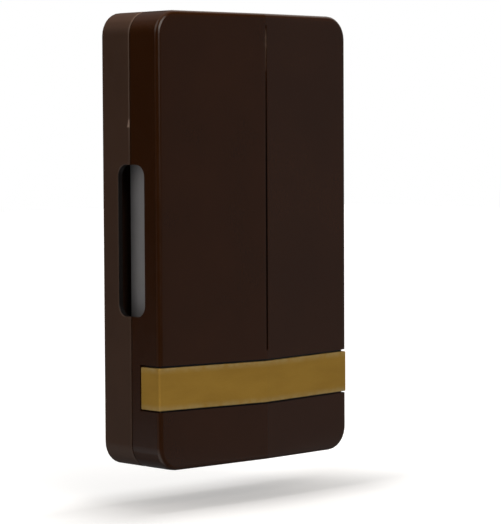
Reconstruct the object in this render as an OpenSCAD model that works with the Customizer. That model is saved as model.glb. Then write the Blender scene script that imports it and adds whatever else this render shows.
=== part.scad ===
// Wall-mounted two-note door chime. A shallow moulded box screws to the wall and a push-fit cover with a
// gilt trim band closes it. Inside, one solenoid's plunger strikes a short tone bar when the push is
// pressed, and a long tone bar when its spring throws it back.
// X runs to the right seen from the front, Y into the wall and Z up. The back face lies at Y = 0, and a
// depth is a distance in front of that face.

/* [Housing] */
// Width of the housing
body_w = 110; // [104:1:130]
// Height of the housing
body_h = 190; // [184:1:220]
// Radius of the outline's corners
corner_r = 10; // [6:0.5:14]
// Depth of the cover's front at its left and right edges
side_depth = 35; // [34:0.5:44]
// Height of the shallow ridge above the front's edges
ridge_rise = 1.9; // [0.5:0.1:4]
// Sideways place of the ridge
ridge_x = 4.7; // [-10:0.1:10]
// Rounding of the cover's front edge
edge_r = 2; // [0.8:0.1:2.2]
// Thickness of the side walls
wall = 2.4; // [2:0.1:3]
// Thickness of the back wall
back_wall = 2.6; // [2.4:0.1:4]
// Thickness of the cover's front
front_wall = 2.4; // [2:0.1:3]

/* [Split between box and cover] */
// Depth of the split line
box_depth = 17.4; // [15:0.1:19]
// Width of the split line on the outside
split_gap = 0.5; // [0.2:0.05:0.8]
// Height of the box's locating lip
lip_h = 2; // [1.5:0.1:2.6]
// Thickness of the locating lip
lip_t = 1; // [0.8:0.05:1.2]
// Clearance between the cover and the box
cover_gap = 0.2; // [0.1:0.05:0.4]
// Width of each friction tongue
tongue_w = 12; // [6:1:16]
// Thickness of each friction tongue
tongue_t = 1.6; // [1.2:0.1:2.4]
// Reach of the tongues into the box
tongue_reach = 7; // [4:0.5:10]
// Sideways place of the tongues
tongue_x = 30; // [22:1:36]

/* [Sound slots] */
// Height of the slots
slot_h = 63; // [40:1:70]
// Depth of the slots in the box
slot_back = 7.7; // [5:0.1:9]
// Depth of the slots in the cover
slot_front = 8.7; // [5:0.1:9.5]
// Corner radius of the slots
slot_r = 5; // [2:0.5:5]

/* [Front groove] */
// Width of the groove along the ridge
groove_w = 0.8; // [0.4:0.1:1.4]
// Depth of the groove
groove_d = 0.6; // [0.3:0.1:1]
// Distance of the groove's end from the top
groove_top = 5; // [3:0.5:15]
// Distance of the groove's end above the trim band
groove_foot = 4; // [2:0.5:10]

/* [Trim band] */
// Height of the band
band_h = 18; // [12:0.5:24]
// Height of the band's middle, below the housing's middle
band_drop = 61; // [55:0.5:66]
// Thickness of the band
band_t = 1.4; // [1:0.1:1.6]
// Depth at which the band's side legs start
band_leg = 23.8; // [23:0.1:27]
// How far the band dips at the ridge
band_dip = 0.8; // [0:0.1:2]
// Bend radius of the band's corners
band_edge_r = 0.8; // [0.4:0.1:1.2]
// How far the band lies below the cover's surface
band_sink = 0.1; // [0.05:0.05:0.3]
// Clearance round the band
band_gap = 0.5; // [0.2:0.1:0.8]
// Thickness of the cover behind the band
channel_floor = 1.6; // [1.2:0.1:2.2]
// Radius of the band's pegs
peg_r = 1.25; // [1:0.05:1.6]
// Sideways place of the pegs
peg_x = 32; // [22:1:40]
// Radius of the push nuts on the pegs
nut_r = 4; // [3:0.1:4.5]
// Thickness of the push nuts
nut_t = 0.6; // [0.4:0.05:0.9]

/* [Tone bars] */
// Length of the long bar
long_bar = 164; // [150:1:170]
// Length of the short bar
short_bar = 146; // [130:1:164]
// Width of the bars
bar_w = 17; // [12:0.5:19]
// Thickness of the bars
bar_t = 3; // [2:0.1:4]
// Distance of the bars' faces from the housing's sides
bar_inset = 7; // [6.8:0.1:9]
// Radius of the holes in the bars
bar_hole_r = 3.2; // [2.6:0.1:4]
// Thickness of the grommets' flanges
grommet_flange_t = 1.9; // [1:0.1:2]
// Radius of the grommets' flanges
grommet_flange_r = 5; // [4.4:0.1:6]

/* [Bar brackets] */
// Radius of the bracket pegs
bracket_peg_r = 1.6; // [1.2:0.05:1.9]
// Thickness of the bracket posts
post_t = 3; // [2:0.1:4]
// Width of the brackets
post_w = 10; // [8:0.5:14]
// Thickness of the bracket feet
foot_t = 2.5; // [2:0.1:4]
// Length of the feet past the posts
foot_l = 11; // [9:0.5:14]
// Height of the bosses under the feet
bracket_boss_h = 3.5; // [3:0.1:5]

/* [Solenoid] */
// Depth of the plunger's axis
axis_depth = 18; // [17.6:0.1:19]
// Radius of the plunger rod
rod_r = 4.4; // [3.5:0.1:5]
// Clearance of the rod in the bobbin
rod_gap = 0.2; // [0.1:0.05:0.3]
// Wall of the bobbin's tube
tube_wall = 0.9; // [0.7:0.05:1.2]
// Thickness of the winding
coil_build = 3.6; // [2:0.1:3.8]
// Length of the winding
coil_l = 36; // [28:1:38]
// Thickness of the bobbin's flanges
bobbin_flange_t = 1.5; // [1:0.1:2]
// Thickness of the tape over the winding
tape_t = 0.3; // [0.2:0.05:0.5]
// Thickness of the yoke's steel
yoke_t = 1.5; // [1:0.1:2]
// Reach of the yoke's ends in front of the axis
yoke_reach = 10; // [8:0.5:12]
// Length of the yoke's screw ears
ear_l = 9; // [8:0.5:12]
// Width of the yoke's screw ears
ear_w = 10; // [8:0.5:14]

/* [Striker] */
// Gap from the left tip to the long bar at rest
gap_left = 3; // [2:0.1:5]
// Gap from the right tip to the short bar at rest
gap_right = 6; // [4:0.1:7]
// Length of the striker tips
tip_l = 6; // [5:0.5:8]
// Radius of the striker tips
tip_r = 3.8; // [3.2:0.1:4.2]
// Radius of the spigots that carry the tips
spigot_r = 2.4; // [1.6:0.1:2.6]
// Length of the spigots
spigot_l = 4; // [3:0.5:4.5]
// Radius of the spring clip
clip_r = 6.6; // [6.2:0.1:8]
// Thickness of the spring clip
clip_t = 0.8; // [0.6:0.1:1.2]
// Radius of the return spring's wire
wire_r = 0.3; // [0.2:0.05:0.4]
// Turns of the return spring
spring_turns = 6; // [4:1:7]

/* [Terminals] */
// Width of the terminal block
block_w = 24; // [22:1:30]
// Height of the terminal block
block_h = 16; // [13:0.5:18]
// Depth of the terminal block
block_d = 13; // [11:0.5:15]
// Distance of the block's middle below the housing's middle
block_drop = 42; // [38:0.5:44]
// Height of the pad under the block
pad_h = 3; // [2.6:0.1:5]
// Sideways place of each pole
pole_x = 6.5; // [6:0.1:7.5]
// Width of the brass clamps
clamp_w = 6.4; // [5.6:0.1:7]
// Radius of the wire holes
wire_hole_r = 1.7; // [1.2:0.1:2]
// Radius of the coil leads
lead_r = 0.8; // [0.5:0.1:1]
// Sideways place where the leads leave the winding
lead_x = 14; // [10:0.5:15]

/* [Fixings] */
// Distance of the wall-screw holes from the housing's middle
wall_hole_z = 80; // [76:1:84]
// Radius of the wall-screw holes
wall_hole_r = 2.3; // [2:0.1:3]
// Distance of the cable inlet below the housing's middle
inlet_drop = 63; // [60:0.5:66]
// Radius of the cable inlet's hole in the back wall
inlet_r = 5.6; // [5:0.1:6]
// Radius of the cable's bore in the grommet
cable_r = 3.5; // [2.5:0.1:4]
// Thickness of the cable grommet's flanges
inlet_flange_t = 1; // [0.8:0.1:1.2]
// Width of the cable grommet's flanges beyond the hole
inlet_flange_w = 2; // [1.2:0.1:2.4]
// Radius of the small screws
screw_r = 1.3; // [1:0.05:1.5]
// Radius of the small screws' heads
screw_head_r = 2.6; // [2.2:0.1:3]
// Height of the small screws' heads
screw_head_h = 1.8; // [1.4:0.1:2.4]
// Length of the small screws below what they hold
screw_bite = 4; // [3:0.1:4.4]
// Clearance of the screws and of pieces that are pushed together
fit_gap = 0.1; // [0.05:0.01:0.15]

/* [Hidden] */
$fn = 64;
// Cutters and joined solids reach this far past the faces that they cross
over = 1;
CHOCOLATE = [0.17, 0.11, 0.09];
GILT = [0.52, 0.4, 0.17];
STEEL = [0.62, 0.62, 0.64];
NYLON = [0.9, 0.88, 0.82];
RUBBER = [0.12, 0.12, 0.12];
BRASS = [0.72, 0.58, 0.28];
COPPER = [0.62, 0.32, 0.16];
TAPE = [0.78, 0.62, 0.2];

// Housing
ridge_depth = side_depth + ridge_rise;
box_rim = box_depth - split_gap / 2;
cover_rim = box_depth + split_gap / 2;
lip_top = box_depth + lip_h;
lip_seat = lip_top + fit_gap / 2;
channel_d = band_t + band_sink;
rib_margin = 2;
groove_lip = 0.1;
peg_boss_h = 0.5;
peg_boss_w = 1;
peg_stub = 1.5;
groove_end = band_h / 2 - band_drop - band_dip + band_gap + groove_foot;
nut_seat = side_depth - channel_d - channel_floor - peg_boss_h;
peg_end = nut_seat - nut_t - peg_stub;
slot_w = slot_back + slot_front;
slot_depth = box_depth + (slot_front - slot_back) / 2;

// Tone bars: a free bar is still at two points, a fixed share of its length from each end
still_share = 0.224;
bar_out = body_w / 2 - bar_inset;
bar_in = bar_out - bar_t;
function bar_length(side) = side < 0 ? long_bar : short_bar;
function still_z(side) = bar_length(side) * (0.5 - still_share);
// Name, side and end of each bar mount
BAR_MOUNTS = [["long_upper", -1, 1], ["long_lower", -1, -1], ["short_upper", 1, 1], ["short_lower", 1, -1]];

// Brackets
post_out = bar_in - grommet_flange_t - fit_gap;
post_in = post_out - post_t;
foot_in = post_in - foot_l;
bracket_seat = back_wall + bracket_boss_h;
foot_screw_x = foot_in + foot_l / 2;
peg_head_t = 0.9;
peg_head_w = 0.6;

// Small screws: the bosses under them and the recess in their heads
boss_r = screw_head_r + 1.2;
recess_w = 0.7;
recess_reach = 0.6 * screw_head_r;
recess_d = screw_head_h / 2;

// Solenoid
tube_r = rod_r + rod_gap + tube_wall;
coil_r = tube_r + coil_build;
tape_r = coil_r + tape_t;
flange_margin = 0.5;
flange_half = tape_r + flange_margin;
yoke_front = axis_depth - flange_half - fit_gap;
yoke_back = yoke_front - yoke_t;
yoke_in = coil_l / 2 + bobbin_flange_t + fit_gap;
yoke_out = yoke_in + yoke_t;
yoke_half = flange_half + fit_gap;
ear_margin = 1;
ear_screw_z = yoke_half + ear_l - screw_head_r - ear_margin;
yoke_hole_r = rod_r + 2 * rod_gap;

// Striker
rod_left = -bar_in + gap_left + tip_l;
rod_right = bar_in - gap_right - tip_l;
clip_place = 0.9;
clip_left = rod_left + clip_place;
clip_right = clip_left + clip_t;
clip_groove_d = 0.9;
clip_groove_r = rod_r - clip_groove_d;
clip_mouth = 1.2 * clip_groove_r;
spring_seat_w = 0.15;
spring_r = yoke_hole_r + wire_r + spring_seat_w;
dome_l = 1.5;

// Terminals
pad_top = back_wall + pad_h;
block_front = pad_top + block_d;
block_top = block_h / 2 - block_drop;
wire_rise = 5.4;
clamp_rise = 2;
clamp_roof = 2.6;
end_wall = 2.5;
wire_depth = pad_top + wire_rise;
clamp_back = pad_top + clamp_rise;
clamp_front = wire_depth + wire_hole_r + clamp_roof;
clamp_h = block_h - 2 * end_wall;
block_floor = 3;
lead_in = 4;
lead_rings = 12;

// Extrudes an outline in X and Z between two depths
module along_depth(from, to) {
    rotate([90, 0, 0]) translate([0, 0, from]) linear_extrude(to - from) children();
}

// Extrudes an outline in Y and Z between two places along X
module along_x(from, to) {
    translate([from, 0, 0]) rotate([90, 0, 90]) linear_extrude(to - from) children();
}

// Extrudes an outline in X and Y between two heights
module along_z(from, to) {
    translate([0, 0, from]) linear_extrude(to - from) children();
}

// A round bar along the depth
module round_depth(from, to, r) {
    rotate([90, 0, 0]) translate([0, 0, from]) cylinder(r = r, h = to - from);
}

// A round bar along X, on the plunger's axis depth
module round_x(from, to, r, z = 0) {
    translate([from, -axis_depth, z]) rotate([0, 90, 0]) cylinder(r = r, h = to - from);
}

// A block between two corners, given as x, depth and z
module block(low, high) {
    translate([low[0], -high[1], low[2]]) cube([high[0] - low[0], high[1] - low[1], high[2] - low[2]]);
}

// The right-hand shape as it is, or its mirror image on the left
module on_side(side) {
    if (side < 0) mirror([1, 0, 0]) children();
    else children();
}

module round_rect(w, h, r) {
    square([w - 2 * r, h], center = true);
    square([w, h - 2 * r], center = true);
    for (x = [-1, 1], z = [-1, 1]) translate([x * (w / 2 - r), z * (h / 2 - r)]) circle(r);
}

// The housing's outline, drawn in by an inset
module outline(inset) {
    round_rect(body_w - 2 * inset, body_h - 2 * inset, corner_r - inset);
}

// The front's section in X and Y: two planes that meet at the ridge, drawn in by an inset
function roof(inset, from_depth) = [
    [-body_w / 2 + inset, -from_depth],
    [-body_w / 2 + inset, inset - side_depth],
    [ridge_x, inset - ridge_depth],
    [body_w / 2 - inset, inset - side_depth],
    [body_w / 2 - inset, -from_depth]];

// Depth of that section at a place x
function front_depth(x, inset) =
    let (edge = body_w / 2 - inset, side = x < ridge_x ? -1 : 1)
    side_depth - inset + ridge_rise * (edge - side * x) / (edge - side * ridge_x);

function unit(v) = v / norm(v);

// Points of the arc that rounds corner p of an outline, between its neighbours a and b
function rounded(a, p, b, r, steps = 6) =
    let (u = unit(a - p), v = unit(b - p), half = acos(u * v) / 2, c = p + unit(u + v) * r / sin(half))
    let (s = p + u * r / tan(half) - c, e = p + v * r / tan(half) - c)
    let (from = atan2(s[1], s[0]), turn = atan2(e[1], e[0]) - from)
    let (sweep = turn > 180 ? turn - 360 : turn < -180 ? turn + 360 : turn)
    [for (i = [0:steps]) c + r * [cos(from + sweep * i / steps), sin(from + sweep * i / steps)]];

// A small screw whose head sits at a depth, with a crossed recess
module screw(x, z, seat, grip) {
    translate([x, 0, z]) difference() {
        union() {
            round_depth(seat, seat + screw_head_h, screw_head_r);
            round_depth(seat - grip - screw_bite, seat + over / 2, screw_r);
        }
        for (turn = [45, 135]) rotate([0, turn, 0])
            block([-recess_reach, seat + screw_head_h - recess_d, -recess_w / 2],
                  [recess_reach, seat + screw_head_h + over, recess_w / 2]);
    }
}

// The hole that a small screw bites in, below its boss's top
module pilot(x, z, seat) {
    translate([x, 0, z]) round_depth(seat - screw_bite - fit_gap, seat + over, screw_r + fit_gap / 2);
}

// One unbroken tube along a path that never runs along X
function ring(p, t, r, sides) =
    let (n = unit(cross(t, [1, 0, 0])), b = cross(t, n))
    [for (i = [0:sides - 1]) p + r * (cos(360 * i / sides) * n + sin(360 * i / sides) * b)];

module tube(path, r, sides) {
    last = len(path) - 1;
    rings = [for (k = [0:last]) ring(path[k], unit(path[min(k + 1, last)] - path[max(k - 1, 0)]), r, sides)];
    polyhedron([for (k = rings) each k], concat(
        [for (k = [0:last - 1], i = [0:sides - 1], half = [0, 1])
            let (a = k * sides + i, b = k * sides + (i + 1) % sides)
            half == 0 ? [a, b + sides, b] : [a, a + sides, b + sides]],
        [for (i = [1:sides - 2]) [0, i, i + 1]],
        [for (i = [1:sides - 2]) [last * sides, last * sides + i + 1, last * sides + i]]));
}

// Half of each slot, cut through both side walls
module sound_slots() {
    along_x(-body_w / 2 - over, body_w / 2 + over)
        translate([-slot_depth, 0]) round_rect(slot_w, slot_h, slot_r);
}

module slot_cut() {
    difference() {
        sound_slots();
        block([-bar_out, 0, -slot_h], [bar_out, ridge_depth, slot_h]);
    }
}

module back_box() {
    color(CHOCOLATE) difference() {
        union() {
            difference() {
                along_depth(0, box_rim) outline(0);
                along_depth(back_wall, box_rim + over) outline(wall);
            }
            difference() {
                along_depth(box_rim - over, lip_top) outline(wall - lip_t);
                along_depth(box_rim - 2 * over, lip_top + over) outline(wall);
            }
            for (m = BAR_MOUNTS) translate([m[1] * foot_screw_x, 0, m[2] * still_z(m[1])])
                round_depth(back_wall - over, bracket_seat, boss_r);
            for (z = [-1, 1]) translate([0, 0, z * ear_screw_z])
                round_depth(back_wall - over, yoke_back, boss_r);
            block([-block_w / 2, back_wall - over, -block_drop - block_h / 2],
                  [block_w / 2, pad_top, -block_drop + block_h / 2]);
        }
        slot_cut();
        for (z = [-1, 1]) translate([0, 0, z * wall_hole_z])
            round_depth(-over, back_wall + over, wall_hole_r);
        translate([0, 0, -inlet_drop]) round_depth(-over, back_wall + over, inlet_r);
        translate([0, 0, -inlet_drop])
            round_depth(-over, inlet_flange_t + fit_gap, inlet_r + inlet_flange_w + fit_gap);
        for (m = BAR_MOUNTS) pilot(m[1] * foot_screw_x, m[2] * still_z(m[1]), bracket_seat);
        for (z = [-1, 1]) pilot(0, z * ear_screw_z, yoke_back);
        pilot(0, -block_drop, pad_top);
    }
}

module tone_bar(side) {
    color(STEEL) on_side(side) difference() {
        block([bar_in, axis_depth - bar_w / 2, -bar_length(side) / 2],
              [bar_out, axis_depth + bar_w / 2, bar_length(side) / 2]);
        for (z = [-1, 1]) round_x(bar_in - over, bar_out + over, bar_hole_r, z * still_z(side));
    }
}

// An angle bracket whose peg carries the bar's grommet
module bar_bracket(side, end) {
    z = end * still_z(side);
    peg_tip = bar_out + grommet_flange_t + fit_gap;
    color(NYLON) on_side(side) difference() {
        union() {
            block([post_in, bracket_seat, z - post_w / 2],
                  [post_out, axis_depth + post_w / 2, z + post_w / 2]);
            block([foot_in, bracket_seat, z - post_w / 2],
                  [post_out, bracket_seat + foot_t, z + post_w / 2]);
            round_x(post_in + over, peg_tip + peg_head_t, bracket_peg_r, z);
            round_x(peg_tip, peg_tip + peg_head_t, bracket_peg_r + peg_head_w, z);
        }
        translate([foot_screw_x, 0, z]) round_depth(0, ridge_depth, screw_r + fit_gap);
    }
}

// A rubber grommet: a neck in the bar's hole between two flanges
module bar_grommet(side, end) {
    z = end * still_z(side);
    color(RUBBER) on_side(side) difference() {
        union() {
            round_x(bar_in - grommet_flange_t, bar_in, grommet_flange_r, z);
            round_x(bar_in - over, bar_out + over, bar_hole_r - fit_gap, z);
            round_x(bar_out, bar_out + grommet_flange_t, grommet_flange_r, z);
        }
        round_x(post_out - over, bar_out + grommet_flange_t + over, bracket_peg_r + fit_gap, z);
    }
}

module bracket_screws() {
    color(STEEL) for (m = BAR_MOUNTS)
        screw(m[1] * foot_screw_x, m[2] * still_z(m[1]), bracket_seat + foot_t, foot_t);
}

// A strip of steel bent to a channel, with two ears that are screwed to the box
module yoke_frame() {
    color(STEEL) difference() {
        union() {
            block([-yoke_out, yoke_back, -yoke_half], [yoke_out, yoke_front, yoke_half]);
            for (side = [-1, 1]) on_side(side)
                block([yoke_in, yoke_back, -yoke_half], [yoke_out, axis_depth + yoke_reach, yoke_half]);
            block([-ear_w / 2, yoke_back, -yoke_half - ear_l], [ear_w / 2, yoke_front, yoke_half + ear_l]);
        }
        round_x(-yoke_out - over, yoke_out + over, yoke_hole_r);
        for (z = [-1, 1]) translate([0, 0, z * ear_screw_z]) round_depth(0, axis_depth, screw_r + fit_gap);
    }
}

module yoke_screws() {
    color(STEEL) for (z = [-1, 1]) screw(0, z * ear_screw_z, yoke_front, yoke_t);
}

module coil_bobbin() {
    color(NYLON) difference() {
        union() {
            round_x(-coil_l / 2 - over, coil_l / 2 + over, tube_r);
            for (side = [-1, 1]) on_side(side)
                block([coil_l / 2, axis_depth - flange_half, -flange_half],
                      [coil_l / 2 + bobbin_flange_t, axis_depth + flange_half, flange_half]);
        }
        round_x(-yoke_out, yoke_out, rod_r + rod_gap);
    }
}

// A plain sleeve on the plunger's axis, between the bobbin's flanges
module sleeve(r_in, r_out, end_gap) {
    difference() {
        round_x(end_gap - coil_l / 2, coil_l / 2 - end_gap, r_out);
        round_x(-coil_l, coil_l, r_in);
    }
}

module coil_winding() {
    color(COPPER) sleeve(tube_r, coil_r, fit_gap);
}

module coil_tape() {
    color(TAPE) sleeve(coil_r, tape_r, 2 * fit_gap);
}

module plunger_rod() {
    color(STEEL) difference() {
        union() {
            round_x(rod_left, rod_right, rod_r);
            round_x(rod_left - spigot_l, rod_right + spigot_l, spigot_r);
        }
        difference() {
            round_x(clip_left - fit_gap / 2, clip_right + fit_gap / 2, rod_r + over);
            round_x(clip_left - over, clip_right + over, clip_groove_r);
        }
    }
}

// A nylon cap on the rod's spigot, with a domed face that meets the bar
module striker_tip(x, side) {
    dome_r = (tip_r * tip_r + dome_l * dome_l) / (2 * dome_l);
    color(NYLON) translate([x, -axis_depth, 0]) on_side(side) rotate([0, 90, 0]) difference() {
        intersection() {
            cylinder(r = tip_r, h = tip_l);
            translate([0, 0, tip_l - dome_r]) sphere(dome_r);
        }
        translate([0, 0, -over]) cylinder(r = spigot_r + fit_gap / 2, h = spigot_l + over + fit_gap);
    }
}

// An open ring that snaps into the rod's groove
module spring_clip() {
    color(STEEL) difference() {
        round_x(clip_left, clip_right, clip_r);
        round_x(clip_left - over, clip_right + over, clip_groove_r + fit_gap / 2);
        block([clip_left - over, axis_depth, -clip_mouth / 2],
              [clip_right + over, axis_depth + 2 * clip_r, clip_mouth / 2]);
    }
}

// The return spring's path, from the clip to the yoke
spring_rings = 8;
spring_from = clip_right + wire_r + fit_gap;
spring_to = -yoke_out - wire_r - fit_gap;
spring_path = [for (k = [0:spring_turns * spring_rings])
    let (turn = k / spring_rings)
    [spring_from + (spring_to - spring_from) * turn / spring_turns,
     -axis_depth + spring_r * cos(360 * turn), spring_r * sin(360 * turn)]];
// Least gap of the spring to itself, between points at least half a turn apart
spring_self_gap = min([for (i = [0:len(spring_path) - 1], j = [0:len(spring_path) - 1])
    if (j - i > spring_rings / 2) norm(spring_path[i] - spring_path[j])]) - 2 * wire_r;
echo(spring_self_gap = spring_self_gap);

module return_spring() {
    color(STEEL) tube(spring_path, wire_r, 6);
}

module terminal_block() {
    color(NYLON) difference() {
        block([-block_w / 2, pad_top, -block_drop - block_h / 2],
              [block_w / 2, block_front, -block_drop + block_h / 2]);
        for (side = [-1, 1]) translate([side * pole_x, 0, -block_drop]) {
            block([-clamp_w / 2 - fit_gap, clamp_back - fit_gap, -clamp_h / 2 - fit_gap],
                  [clamp_w / 2 + fit_gap, clamp_front + fit_gap, clamp_h / 2 + fit_gap]);
            translate([0, -wire_depth, -block_h]) cylinder(r = wire_hole_r, h = 2 * block_h);
            round_depth(clamp_front, block_front + over, screw_head_r + 2 * fit_gap);
        }
        translate([0, 0, -block_drop]) {
            round_depth(pad_top - over, block_front + over, screw_r + fit_gap);
            round_depth(pad_top + block_floor, block_front + over, screw_head_r + fit_gap);
        }
    }
}

// Brass cages that the wires pass through
module terminal_clamps() {
    color(BRASS) for (side = [-1, 1]) translate([side * pole_x, 0, -block_drop]) difference() {
        block([-clamp_w / 2, clamp_back, -clamp_h / 2], [clamp_w / 2, clamp_front, clamp_h / 2]);
        translate([0, -wire_depth, -block_h]) cylinder(r = wire_hole_r, h = 2 * block_h);
        round_depth(wire_depth, block_front, screw_r + fit_gap / 2);
    }
}

// Slotted screws that press on the wires in the cages
module terminal_screws() {
    seat = clamp_front + fit_gap;
    color(STEEL) for (side = [-1, 1]) translate([side * pole_x, 0, -block_drop]) difference() {
        union() {
            round_depth(seat, seat + screw_head_h, screw_head_r);
            round_depth(wire_depth + wire_hole_r, seat + over / 2, screw_r);
        }
        block([-screw_head_r - over, seat + screw_head_h - recess_d, -recess_w / 2],
              [screw_head_r + over, seat + screw_head_h + over, recess_w / 2]);
    }
}

module terminal_fixing_screw() {
    color(STEEL) screw(0, -block_drop, pad_top + block_floor, block_floor);
}

// A lead that leaves the winding downwards and bends over into its terminal
function lead_path(side) =
    let (a = [side * lead_x, -axis_depth, -tape_r - fit_gap])
    let (d = [side * pole_x, -wire_depth, block_top - lead_in])
    let (pull = (a[2] - d[2]) / 2, b = a - [0, 0, pull], c = d + [0, 0, pull])
    [for (i = [0:lead_rings])
        let (t = i / lead_rings, s = 1 - t)
        s * s * s * a + 3 * s * s * t * b + 3 * s * t * t * c + t * t * t * d];

module coil_lead(side) {
    color(RUBBER) tube(lead_path(side), lead_r, 8);
}

// A rubber grommet in the back wall, whose outer flange lies in a recess
module cable_grommet() {
    inner = back_wall + fit_gap / 2;
    color(RUBBER) translate([0, 0, -inlet_drop]) difference() {
        union() {
            round_depth(0, inlet_flange_t, inlet_r + inlet_flange_w);
            round_depth(0, inner + over / 2, inlet_r - fit_gap);
            round_depth(inner, inner + inlet_flange_t, inlet_r + inlet_flange_w);
        }
        round_depth(-over, inner + inlet_flange_t + over, cable_r);
    }
}

// The cover's outside: four rounded corner columns and the ridge's ends, wrapped
module cover_outside() {
    column = concat(
        [[0, cover_rim], [corner_r, cover_rim]],
        [for (a = [0:15:90]) [corner_r - edge_r + edge_r * cos(a), side_depth - edge_r + edge_r * sin(a)]],
        [[0, side_depth]]);
    hull() {
        for (x = [-1, 1], z = [-1, 1])
            translate([x * (body_w / 2 - corner_r), 0, z * (body_h / 2 - corner_r)])
                rotate([90, 0, 0]) rotate_extrude($fn = 48) polygon(column);
        for (z = [-1, 1]) translate([ridge_x, edge_r - ridge_depth, z * (body_h / 2 - edge_r)])
            rotate([0, 90, 0]) cylinder(r = edge_r, h = 0.02, center = true, $fn = 24);
    }
}

// The space in front of the band's leg ends, between the band's dipped edges widened by a margin
module band_zone(margin) {
    half = body_w / 2;
    top = band_h / 2 - band_drop + margin;
    foot = -band_h / 2 - band_drop - margin;
    along_depth(band_leg - margin, ridge_depth + over) polygon([
        [-half - over, top], [-half, top], [ridge_x, top - band_dip], [half, top], [half + over, top],
        [half + over, foot], [half, foot], [ridge_x, foot - band_dip], [-half, foot], [-half - over, foot]]);
}

// What lies in the band's zone but outside the front's section drawn in by an inset
module band_skin(margin, inset) {
    difference() {
        band_zone(margin);
        along_z(-body_h, body_h) polygon(roof(inset, 0));
    }
}

module cover_cavity() {
    difference() {
        intersection() {
            along_depth(cover_rim - over, ridge_depth) outline(wall);
            along_z(-body_h, body_h) polygon(roof(front_wall, 0));
        }
        band_skin(rib_margin, channel_d + channel_floor);
    }
}

// A friction tongue, flush inside the box's end walls, and its root on the cover's end wall
module tongue() {
    outer = body_h / 2 - wall - cover_gap;
    root = body_h / 2 - wall + over / 2;
    tip = box_depth - tongue_reach;
    block([-tongue_w / 2, tip, outer - tongue_t], [tongue_w / 2, lip_seat + over, outer]);
    block([-tongue_w / 2, lip_seat, outer - tongue_t], [tongue_w / 2, side_depth - front_wall, root]);
}

module front_cover() {
    color(CHOCOLATE) difference() {
        union() {
            difference() {
                cover_outside();
                cover_cavity();
                along_depth(cover_rim - over, lip_seat) outline(wall - lip_t - cover_gap);
            }
            for (x = [-1, 1], end = [0, 180]) translate([x * tongue_x, 0, 0]) rotate([0, end, 0]) tongue();
            for (x = [-1, 1]) translate([x * peg_x, 0, -band_drop])
                round_depth(
                    nut_seat, front_depth(x * peg_x, channel_d + channel_floor / 2), nut_r + peg_boss_w);
        }
        slot_cut();
        band_skin(band_gap, channel_d);
        along_z(groove_end, body_h / 2 - groove_top) polygon([
            [ridge_x - groove_w / 2, -ridge_depth - groove_lip],
            [ridge_x + groove_w / 2, -ridge_depth - groove_lip],
            [ridge_x, groove_d - ridge_depth]]);
        for (x = [-1, 1]) translate([x * peg_x, 0, -band_drop])
            round_depth(nut_seat - over, ridge_depth + over, peg_r + fit_gap);
    }
}

module trim_band() {
    skin = roof(band_sink, 0);
    face = concat(
        [skin[0]], rounded(skin[0], skin[1], skin[2], band_edge_r), [skin[2]],
        rounded(skin[2], skin[3], skin[4], band_edge_r), [skin[4]]);
    color(GILT) union() {
        intersection() {
            band_skin(0, channel_d);
            along_z(-body_h, body_h) polygon(face);
        }
        for (x = [-1, 1]) translate([x * peg_x, 0, -band_drop])
            round_depth(peg_end, front_depth(x * peg_x, band_t / 2), peg_r);
    }
}

module band_push_nuts() {
    color(STEEL) for (x = [-1, 1]) translate([x * peg_x, 0, -band_drop]) difference() {
        round_depth(nut_seat - nut_t, nut_seat, nut_r);
        round_depth(nut_seat - 2 * nut_t, nut_seat + over, peg_r + fit_gap / 2);
    }
}

back_box();
tone_bar(-1);  // long_tone_bar
tone_bar(1);  // short_tone_bar
for (m = BAR_MOUNTS) bar_bracket(m[1], m[2]);
for (m = BAR_MOUNTS) bar_grommet(m[1], m[2]);
bracket_screws();
yoke_frame();
yoke_screws();
coil_bobbin();
coil_winding();
coil_tape();
plunger_rod();
striker_tip(rod_left, -1);  // striker_tip_left
striker_tip(rod_right, 1);  // striker_tip_right
spring_clip();
return_spring();
terminal_block();
terminal_clamps();
terminal_screws();
terminal_fixing_screw();
coil_lead(-1);  // coil_lead_left
coil_lead(1);  // coil_lead_right
cable_grommet();
front_cover();
trim_band();
band_push_nuts();
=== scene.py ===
import math

import bmesh
import bpy
import numpy as np
from mathutils import Matrix, Vector
from mathutils.geometry import delaunay_2d_cdt


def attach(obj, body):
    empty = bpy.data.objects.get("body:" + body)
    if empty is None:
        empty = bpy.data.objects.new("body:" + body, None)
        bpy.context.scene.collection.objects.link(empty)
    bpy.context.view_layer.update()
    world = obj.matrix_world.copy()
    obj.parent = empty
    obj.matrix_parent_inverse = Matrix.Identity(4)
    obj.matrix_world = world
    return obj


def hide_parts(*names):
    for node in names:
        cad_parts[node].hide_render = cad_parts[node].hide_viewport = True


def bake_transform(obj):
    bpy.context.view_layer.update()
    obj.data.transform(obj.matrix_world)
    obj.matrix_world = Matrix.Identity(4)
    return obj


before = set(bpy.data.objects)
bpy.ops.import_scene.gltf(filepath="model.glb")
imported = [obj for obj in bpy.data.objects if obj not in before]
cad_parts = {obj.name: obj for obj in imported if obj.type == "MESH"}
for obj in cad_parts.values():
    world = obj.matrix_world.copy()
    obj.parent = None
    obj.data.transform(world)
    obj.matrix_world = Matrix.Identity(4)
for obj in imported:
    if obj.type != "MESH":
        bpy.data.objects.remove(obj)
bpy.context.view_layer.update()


# Back box. One moulding in chocolate-brown plastic that is screwed to the wall: a shallow tray with a
# locating lip round its rim, the rear halves of the two sound slots, and bosses for the works.
# Points are worked out in millimetres as x, depth and height, where depth is the distance from the wall.
half_width, half_height, corner_r = 55.0, 95.0, 10.0
end_half, side_half = half_width - corner_r, half_height - corner_r
wall = 2.4
box_rim, lip_top, lip_inset = 17.15, 19.4, 1.4
back_wall = 2.6
slot_straight, slot_r, box_slot_depth = 26.5, 5.0, 9.7
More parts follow.
